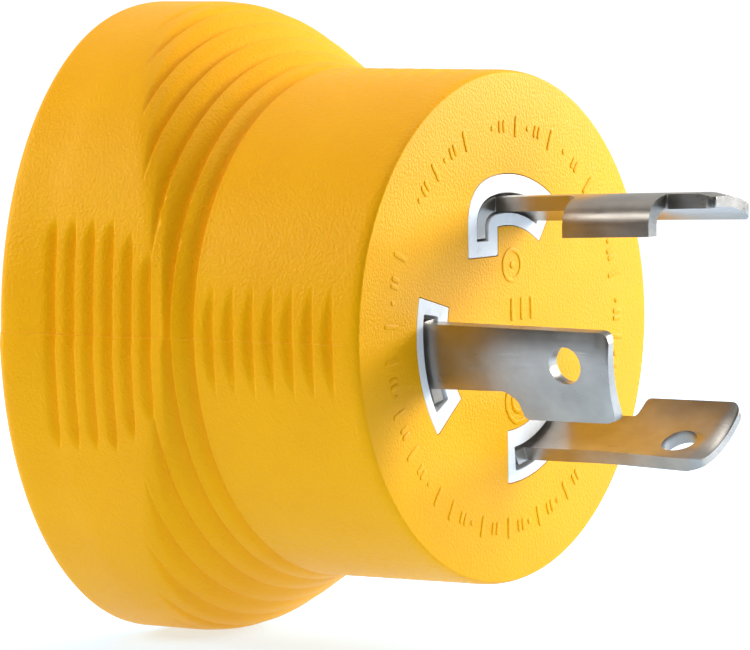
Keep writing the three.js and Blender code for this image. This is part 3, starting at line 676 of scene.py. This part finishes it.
def ground_section(grow, right=62.0):
    """The ground blade's section: an arc with a leg folded inwards at its left end."""
    outer = GROUND_BLADE_RADIUS + BLADE_THICKNESS + grow
    inner = GROUND_BLADE_RADIUS - grow
    left, leg_inside = LEG_OUTSIDE - grow, LEG_OUTSIDE + BLADE_THICKNESS + grow
    right -= grow * 4
    outer_bend = tangent_bend(outer, left, 3.4, 2.9)
    inner_bend = tangent_bend(inner, leg_inside, 1.8, 1.5)[::-1]
    outer_start, inner_start = (
        math.degrees(math.atan2(y, x)) for x, y in (outer_bend[0], inner_bend[-1])
    )
    return [
        *arc(outer, right, outer_start, 1.25)[:-1],
        *outer_bend,
        (left, LEG_TIP - grow),
        (leg_inside, LEG_TIP - grow),
        *inner_bend,
        *arc(inner, inner_start, right, 1.25)[1:],
    ]


def ground_blade(length=28.0, neck=-1.6, far=12.0):
    """The ground blade: a curved strip with a lug folded down, a blunt tip and a tail."""
    outer = GROUND_BLADE_RADIUS + BLADE_THICKNESS
    section = ground_section(0, 57.0)
    bevel = length - TIP_BEVEL_LENGTH

    def shrunk(x):
        """The section at x, its outside pulled in along the tip's bevel."""
        pull = TIP_BEVEL_DEPTH * max(0.0, (x - bevel) / TIP_BEVEL_LENGTH)
        points = []
        for y, z in section:
            radius = math.hypot(y, z)
            share = 1 - pull / radius if radius > outer - 0.2 else 1.0
            points.append((x, y * share, z * share + GROUND_TILT * max(x, 0.0)))
        return points

    stations = (TAIL_END_X - 1, 0.0, bevel, length + 0.5)
    blade = loft("blade_ground", [shrunk(x) for x in stations])
    tail_left, tail_right = 0.0, 5.1
    corners = [
        (tail_left, TAIL_END_X, 0.8),
        (tail_right, TAIL_END_X, 0.8),
        (tail_right, INSERT_REAR_X, 0.1),
        (far, INSERT_REAR_X, 0.1),
        (far, length - 1.2, 0.1),
        (6.7, length - 1.2, 0.4),
        (5.7, length, 0.7),
        (neck + 0.4, length, 0.3),
        (neck, length - 0.7, 0.3),
        (neck, LUG_FRONT_X, 0.35),
        (LEG_OUTSIDE - 1.0, LUG_FRONT_X, 0.3),
        (LEG_OUTSIDE - 1.0, LUG_REAR_X, 0.3),
        (neck - 1.0, LUG_REAR_X, 0.6),
        (neck, 9.9, 0.6),
        (neck, ROOT_X, 0.1),
        (-far, ROOT_X, 0.1),
        (-far, INSERT_REAR_X, 0.1),
        (tail_left, INSERT_REAR_X, 0.1),
    ]
    outline = soften([c[:2] for c in corners], [c[2] for c in corners], turn=4.0)
    loops = [[(x, y, z) for y, x in outline] for z in (2.0, 22.0)]
    combine(blade, [loft("planform", loops)], "INTERSECT")
    wedge = prism("wedge", sector(8, 22, 40, 62), EAR_FRONT_X, length + 2)
    combine(blade, [wedge, rivet_hole(GROUND_TAIL_ANGLE)], "DIFFERENCE")
    return round_edges(blade, BLADE_EDGE)


# ------------------------------------------------------------------ marks on the face


def pill(length, width, height, place, degrees):
    """A low raised bar with round ends on the plug's face."""
    loops = []
    for lift, inset in ((-0.15, 0.0), (0.5 * height, 0.02), (0.85 * height, 0.09), (height, 0.2)):
        half, radius = (length - width) / 2, width / 2 - inset
        ends = [(half * side, 0) for side in (1, -1)]
        outline = []
        for (middle, _), start in zip(ends, (-90, 90)):
            for angle in np.linspace(start, start + 180, 9):
                y, z = polar(radius, angle)
                outline.append((middle + y, z))
        loops.append([(lift, y, z) for y, z in turned(outline, degrees, place)])
    return loft("mark", loops)


def raised_ring(place, radius, width, height):
    """A low raised ring on the plug's face."""
    profile = ((-0.15, 0.5), (0.6 * height, 0.5), (height, 0.2), (height, -0.2),
               (0.6 * height, -0.5), (-0.15, -0.5))
    count = 48
    points, faces = [], []
    for angle in np.linspace(0, 360, count, endpoint=False):
        for lift, share in profile:
            y, z = polar(radius + share * width, angle)
            points.append((lift, y + place[0], z + place[1]))
    size = len(profile)
    for i in range(count):
        for k in range(size):
            a, b = i * size, (i + 1) % count * size
            m = (k + 1) % size
            faces.append((a + k, a + m, b + m, b + k))
    return make("mark", points, faces)


def face_marks():
    """Plain bars, dots and rings in place of the real moulding's lettering."""
    marks = []
    ring_radius, height = 22.1, 0.12
    arcs = ((42, 58, 3), (66, 96, 6), (110, 138, 6), (156, 176, 4), (186, 206, 5),
            (214, 232, 4), (240, 262, 5), (270, 306, 8), (338, 364, 6), (372, 382, 3))
    for start, end, count in arcs:
        for i, angle in enumerate(np.linspace(start, end, count)):
            place = polar(ring_radius, angle)
            kind = i % 3
            length = (2.5, 1.5, 0.7)[kind]
            marks.append(pill(length, 0.62, height, place, angle))
            if kind == 1:
                beside = polar(ring_radius, angle + 2.1)
                marks.append(pill(length, 0.62, height, beside, angle))
    marks.append(raised_ring((1.2, 6.8), 1.7, 0.5, height))
    marks.append(pill(0.9, 0.8, height, (1.2, 6.8), 0))
    for offset in (-1.9, 0.0, 1.9):
        marks.append(pill(2.6, 0.6, height, (3.0 + offset, 1.9), 90))
    marks.append(raised_ring((2.2, -8.2), 2.4, 0.5, height))
    marks.append(raised_ring((2.2, -8.2), 1.2, 0.5, height))
    return joined("face_marks", marks)


def joined(name, parts):
    """One object holding all the parts' meshes, which are then removed."""
    whole = bmesh.new()
    for part in parts:
        whole.from_mesh(part.data)
        bpy.data.objects.remove(part)
    mesh = bpy.data.meshes.new(name)
    whole.to_mesh(mesh)
    whole.free()
    piece = bpy.data.objects.new(name, mesh)
    bpy.context.scene.collection.objects.link(piece)
    shade(piece, 40.0)
    return piece


# ------------------------------------------------------------------ materials


class Nodes:
    """Short-hand for building one material's node tree."""

    def __init__(self, name):
        self.material = bpy.data.materials.new(name)
        self.material.use_nodes = True
        self.tree = self.material.node_tree
        self.shader = self.tree.nodes["Principled BSDF"]
        self.place = self.add("ShaderNodeTexCoord").outputs["Object"]

    def add(self, kind, inputs=None, **settings):
        node = self.tree.nodes.new(kind)
        for key, value in settings.items():
            setattr(node, key, value)
        for key, value in (inputs or {}).items():
            if isinstance(value, bpy.types.NodeSocket):
                self.tree.links.new(value, node.inputs[key])
            else:
                node.inputs[key].default_value = value
        return node

    def scaled(self, scale):
        """The object coordinates in millimetres, stretched by scale along each axis."""
        factor = [1000 * s for s in scale]
        node = self.add("ShaderNodeMapping", {"Vector": self.place, "Scale": factor})
        return node.outputs["Vector"]

    def noise(self, scale=(1, 1, 1), size=1.0, detail=4.0, roughness=0.55):
        """Noise whose blotches are about size millimetres across."""
        node = self.add(
            "ShaderNodeTexNoise",
            {
                "Vector": self.scaled(scale),
                "Scale": 1 / size,
                "Detail": detail,
                "Roughness": roughness,
            },
        )
        return node.outputs["Fac"]

    def spread(self, value, low, high, start=0.3, end=0.7):
        """Maps value from start..end to low..high."""
        names = ("From Min", "From Max", "To Min", "To Max")
        limits = dict(zip(names, (start, end, low, high)))
        return self.add("ShaderNodeMapRange", {"Value": value, **limits}).outputs["Result"]

    def mix(self, factor, a, b):
        """A colour between a and b. The numbered sockets are the node's colour ones."""
        node = self.add("ShaderNodeMix", data_type="RGBA")
        for index, value in ((0, factor), (6, a), (7, b)):
            if isinstance(value, bpy.types.NodeSocket):
                self.tree.links.new(value, node.inputs[index])
            else:
                node.inputs[index].default_value = value
        return node.outputs[2]

    def bump(self, height, strength, distance, below=None):
        inputs = {"Height": height, "Strength": strength, "Distance": distance * MM}
        if below is not None:
            inputs["Normal"] = below
        return self.add("ShaderNodeBump", inputs).outputs["Normal"]

    def set(self, **values):
        """Sets or links the shader's own sockets, and gives back the material."""
        names = {"colour": "Base Color", "roughness": "Roughness", "metallic": "Metallic",
                 "normal": "Normal", "specular": "Specular IOR Level", "tint": "Specular Tint",
                 "subsurface": "Subsurface Weight", "subsurface_radius": "Subsurface Radius",
                 "subsurface_scale": "Subsurface Scale"}
        for key, value in values.items():
            socket = self.shader.inputs[names[key]]
            if isinstance(value, bpy.types.NodeSocket):
                self.tree.links.new(value, socket)
            else:
                socket.default_value = value
        return self.material


def srgb(red, green, blue):
    """A colour given as 0-255 screen values, as linear light."""
    def linear(value):
        share = value / 255
        return share / 12.92 if share <= 0.04045 else ((share + 0.055) / 1.055) ** 2.4

    return (linear(red), linear(green), linear(blue), 1.0)


SHEEN_TINT = (1.0, 0.76, 0.3, 1)  # the vinyl's highlights take some of its colour
BRUSHED = (0.06, 1.0, 1.0)  # noise stretched along X


def yellow_vinyl():
    nodes = Nodes("yellow_vinyl")
    cloud = nodes.spread(nodes.noise(size=9.0, detail=3), 0.0, 1.0)
    fine = nodes.spread(nodes.noise(size=0.5, detail=3), 0.0, 1.0)
    colour = nodes.mix(cloud, srgb(243, 168, 0), srgb(247, 174, 0))
    colour = nodes.mix(nodes.spread(fine, 0.0, 0.25, 0, 1), colour, srgb(250, 180, 4))
    rough = nodes.spread(nodes.noise(size=0.7, detail=4), 0.38, 0.5)
    grain = nodes.bump(nodes.noise(size=0.34, detail=1.5, roughness=0.6), 1.0, 0.09)
    waves = nodes.bump(nodes.noise(size=6.0, detail=1.5), 0.15, 0.12, grain)
    return nodes.set(colour=colour, roughness=rough, normal=waves, specular=0.22, tint=SHEEN_TINT,
                     subsurface=0.08, subsurface_radius=(1.0, 0.4, 0.03),
                     subsurface_scale=0.8 * MM)


def white_nylon():
    nodes = Nodes("white_nylon")
    cloud = nodes.spread(nodes.noise(size=3.0, detail=3), 0.0, 1.0)
    colour = nodes.mix(cloud, srgb(236, 236, 234), srgb(246, 246, 245))
    rough = nodes.spread(nodes.noise(size=1.2, detail=4), 0.24, 0.4)
    bump = nodes.bump(nodes.noise(size=1.6, detail=4), 0.25, 0.05)
    return nodes.set(colour=colour, roughness=rough, normal=bump, specular=0.5,
                     subsurface=0.1, subsurface_radius=(1.0, 1.0, 1.0),
                     subsurface_scale=0.8 * MM)


def metal(name, dark, light, rough):
    """Satin metal, with faint marks drawn out along X."""
    nodes = Nodes(name)
    streaks = nodes.noise(BRUSHED, size=0.3, detail=4, roughness=0.6)
    cloud = nodes.noise(size=3.5, detail=3, roughness=0.5)
    colour = nodes.mix(nodes.spread(cloud, 0, 1), dark, light)
    polish = nodes.spread(cloud, rough[0], rough[1])
    scuffs = nodes.spread(streaks, 0.0, 0.08)
    total = nodes.add("ShaderNodeMath", {0: polish, 1: scuffs}, operation="ADD")
    normal = nodes.bump(streaks, 0.35, 0.012)
    normal = nodes.bump(nodes.noise(size=2.2, detail=1), 0.15, 0.02, normal)
    return nodes.set(colour=colour, roughness=total.outputs[0], metallic=1.0, normal=normal)


def grey_plastic():
    nodes = Nodes("grey_plastic")
    cloud = nodes.spread(nodes.noise(size=4.0), 0, 1)
    colour = nodes.mix(cloud, srgb(76, 78, 82), srgb(92, 94, 98))
    rough = nodes.spread(nodes.noise(size=0.8), 0.5, 0.68)
    bump = nodes.bump(nodes.noise(size=0.4), 0.3, 0.05)
    return nodes.set(colour=colour, roughness=rough, normal=bump)


FINISHES = {
    "yellow_vinyl": yellow_vinyl(),
    "white_nylon": white_nylon(),
    "grey_plastic": grey_plastic(),
    "nickel": metal("nickel", srgb(154, 148, 140), srgb(172, 166, 158), (0.25, 0.31)),
    "brass": metal("brass", srgb(190, 150, 80), srgb(214, 176, 104), (0.26, 0.42)),
    "copper": metal("copper", srgb(180, 112, 76), srgb(206, 140, 100), (0.28, 0.45)),
    "spring_steel": metal("spring_steel", srgb(140, 142, 145), srgb(170, 172, 174), (0.25, 0.4)),
}


def place(piece, slot, *nodes):
    """Gives a finished piece its material and its place in the frame."""
    piece.data.materials.clear()
    piece.data.materials.append(FINISHES[slot])
    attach(piece, "root")
    if nodes:
        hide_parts(*nodes)


# Tangential place, axial place and corner rounding, round each power blade's head.
NEUTRAL_HEAD = (
    (3.7, 9.5, 0.5),
    (4.8, 10.9, 0.6),
    (7.0, 11.1, 0.6),
    (7.0, 22.5, 1.2),
    (-3.1, 23.3, 1.6),
)
HOT_HEAD = (
    (3.5, 10.6, 0.5),
    (5.9, 11.1, 0.6),
    (5.9, 23.2, 1.2),
    (-4.8, 23.2, 1.6),
    (-3.5, 10.4, 3.0),
)

place(jacket(), "yellow_vinyl", "outer_jacket")
place(face_marks(), "yellow_vinyl")
place(plug_insert(), "white_nylon", "plug_insert")
place(receptacle_insert(), "white_nylon", "receptacle_insert")
neutral = power_blade(
    "blade_neutral", NEUTRAL_ANGLE, (-3.5, 5.6), (-3.3, 3.7), NEUTRAL_HEAD, hole=(0.55, 17.7)
)
place(neutral, "nickel", "neutral_blade")
hot = power_blade(
    "blade_hot", HOT_ANGLE, (-5.2, 3.5), (-3.5, 3.5), HOT_HEAD, hole=(-0.3, 18.2)
)
place(hot, "nickel", "hot_blade")
place(ground_blade(), "nickel", "ground_blade")

for row in frame["record"]["subparts"]:
    node = frame["nodes"][row["node"]]
    if not node.hide_render:
        node.data.materials.clear()
        node.data.materials.append(FINISHES[row["material_slot"]])

# ------------------------------------------------------------------ stage, lights and camera


VIEW_AZIMUTH = math.radians(35.285)
VIEW_ELEVATION = math.radians(4.25)
VIEW_ROLL = math.radians(-0.821)
VIEW_DISTANCE = 0.700
VIEW_SHIFT = (0.014445, -0.000268)
SENSOR_WIDTH, LENS = 36.0, 306.1296

FLOOR_FRONT, FLOOR_BACK, FLOOR_SIDE = 120, -450, 500  # mm from the object
FLOOR_COLOURS = ((0.3, 0.48, 0.7, 1), (0.32, 0.5, 0.72, 1))  # cool, against the yellow bounce
GLOW_COLOUR = (0.97, 1.0, 1.05, 1)
NEAR_GLOW, FAR_GLOW = 0.62, 0.95
GLOW_START, GLOW_END = 0.055, 0.13  # metres from the object's origin


def stage_floor():
    """A small pale floor that glows more with distance, so that it meets the white studio.

    Its cool tint offsets the object's yellow bounce, which keeps the shadow neutral."""
    low = JACKET_LOW.z
    view = Vector((math.sin(VIEW_AZIMUTH), -math.cos(VIEW_AZIMUTH), 0))
    side = Vector((-view.y, view.x, 0))
    corners = [
        (FLOOR_FRONT, -FLOOR_SIDE),
        (FLOOR_FRONT, FLOOR_SIDE),
        (FLOOR_BACK, FLOOR_SIDE),
        (FLOOR_BACK, -FLOOR_SIDE),
    ]
    points = [view * along + side * across + Vector((0, 0, low)) for along, across in corners]
    floor = make("floor", points, [(0, 1, 2, 3)])
    nodes = Nodes("floor_white")
    cloud = nodes.spread(nodes.noise(size=400.0, detail=2), 0, 1)
    colour = nodes.mix(cloud, *FLOOR_COLOURS)
    away = nodes.add("ShaderNodeVectorMath", {0: nodes.place}, operation="LENGTH")
    glow = nodes.spread(away.outputs["Value"], NEAR_GLOW, FAR_GLOW, GLOW_START, GLOW_END)
    nodes.shader.inputs["Emission Color"].default_value = GLOW_COLOUR
    nodes.tree.links.new(glow, nodes.shader.inputs["Emission Strength"])
    floor.data.materials.append(nodes.set(colour=colour, roughness=0.6, specular=0.1))


def area_light(name, position, size, power):
    """A soft white light at position, aimed at the object's origin."""
    data = bpy.data.lights.new(name, "AREA")
    data.shape = "RECTANGLE"
    data.size, data.size_y = size
    data.energy = power
    light = bpy.data.objects.new(name, data)
    bpy.context.scene.collection.objects.link(light)
    light.location = position
    light.rotation_euler = (-Vector(position)).to_track_quat("-Z", "Y").to_euler()
    light.visible_camera = False


def camera():
    """The viewpoint: almost level with the object, a little to the plug's left."""
    cos_up, sin_up = math.cos(VIEW_ELEVATION), math.sin(VIEW_ELEVATION)
    back = Vector((math.sin(VIEW_AZIMUTH) * cos_up, -math.cos(VIEW_AZIMUTH) * cos_up, sin_up))
    right = Vector((math.cos(VIEW_AZIMUTH), math.sin(VIEW_AZIMUTH), 0))
    up = back.cross(right)
    turn_cos, turn_sin = math.cos(VIEW_ROLL), math.sin(VIEW_ROLL)
    right, up = right * turn_cos + up * turn_sin, up * turn_cos - right * turn_sin
    data = bpy.data.cameras.new("camera")
    data.sensor_width = SENSOR_WIDTH
    data.lens = LENS
    eye = bpy.data.objects.new("camera", data)
    bpy.context.scene.collection.objects.link(eye)
    turn = Matrix((right, up, back)).transposed().to_4x4()
    where = back * VIEW_DISTANCE - right * VIEW_SHIFT[0] - up * VIEW_SHIFT[1]
    eye.matrix_world = Matrix.Translation(where) @ turn
    data.clip_start, data.clip_end = 0.01, 50
    bpy.context.scene.camera = eye


BACKGROUND_WHITE = 1.1


def world_light(near, far):
    """A studio that is dimmer on the camera's side than behind the object.

    Camera rays see an even white instead, so the background is plain."""
    world = bpy.data.worlds.new("studio")
    world.use_nodes = True
    tree = world.node_tree
    background = tree.nodes["Background"]
    background.inputs["Color"].default_value = (1, 1, 1, 1)
    way = tree.nodes.new("ShaderNodeTexCoord")
    along = tree.nodes.new("ShaderNodeVectorMath")
    along.operation = "DOT_PRODUCT"
    along.inputs[1].default_value = (math.sin(VIEW_AZIMUTH), -math.cos(VIEW_AZIMUTH), 0)
    tree.links.new(way.outputs["Generated"], along.inputs[0])
    fade = tree.nodes.new("ShaderNodeMapRange")
    fade.interpolation_type = "SMOOTHSTEP"
    for key, value in {"From Min": -0.5, "From Max": 0.4, "To Min": far, "To Max": near}.items():
        fade.inputs[key].default_value = value
    tree.links.new(along.outputs["Value"], fade.inputs["Value"])
    path = tree.nodes.new("ShaderNodeLightPath")
    seen = tree.nodes.new("ShaderNodeMix")
    seen.inputs["B"].default_value = BACKGROUND_WHITE
    tree.links.new(path.outputs["Is Camera Ray"], seen.inputs["Factor"])
    tree.links.new(fade.outputs["Result"], seen.inputs["A"])
    tree.links.new(seen.outputs["Result"], background.inputs["Strength"])
    bpy.context.scene.world = world


stage_floor()
camera()
world_light(near=0.05, far=0.65)
area_light("face_softbox", (0.4, 0.45, 0.3), (0.4, 0.4), 2.6)
area_light("face_panel", (0.25, 0.35, 0.14), (0.3, 0.2), 1.9)
area_light("top_softbox", (-0.05, 0.0, 0.65), (0.5, 0.4), 1.8)
area_light("key_softbox", (0.3, -0.65, 0.5), (0.4, 0.4), 1.25)
area_light("left_softbox", (-0.6, -0.3, 0.28), (0.25, 0.25), 1.9)
area_light("near_softbox", (-0.31, -0.36, 0.25), (0.1, 0.14), 0.34)
area_light("bevel_card", (-0.1, -0.7, -0.02), (0.14, 0.3), 0.08)
bpy.context.scene.view_settings.view_transform = "Standard"
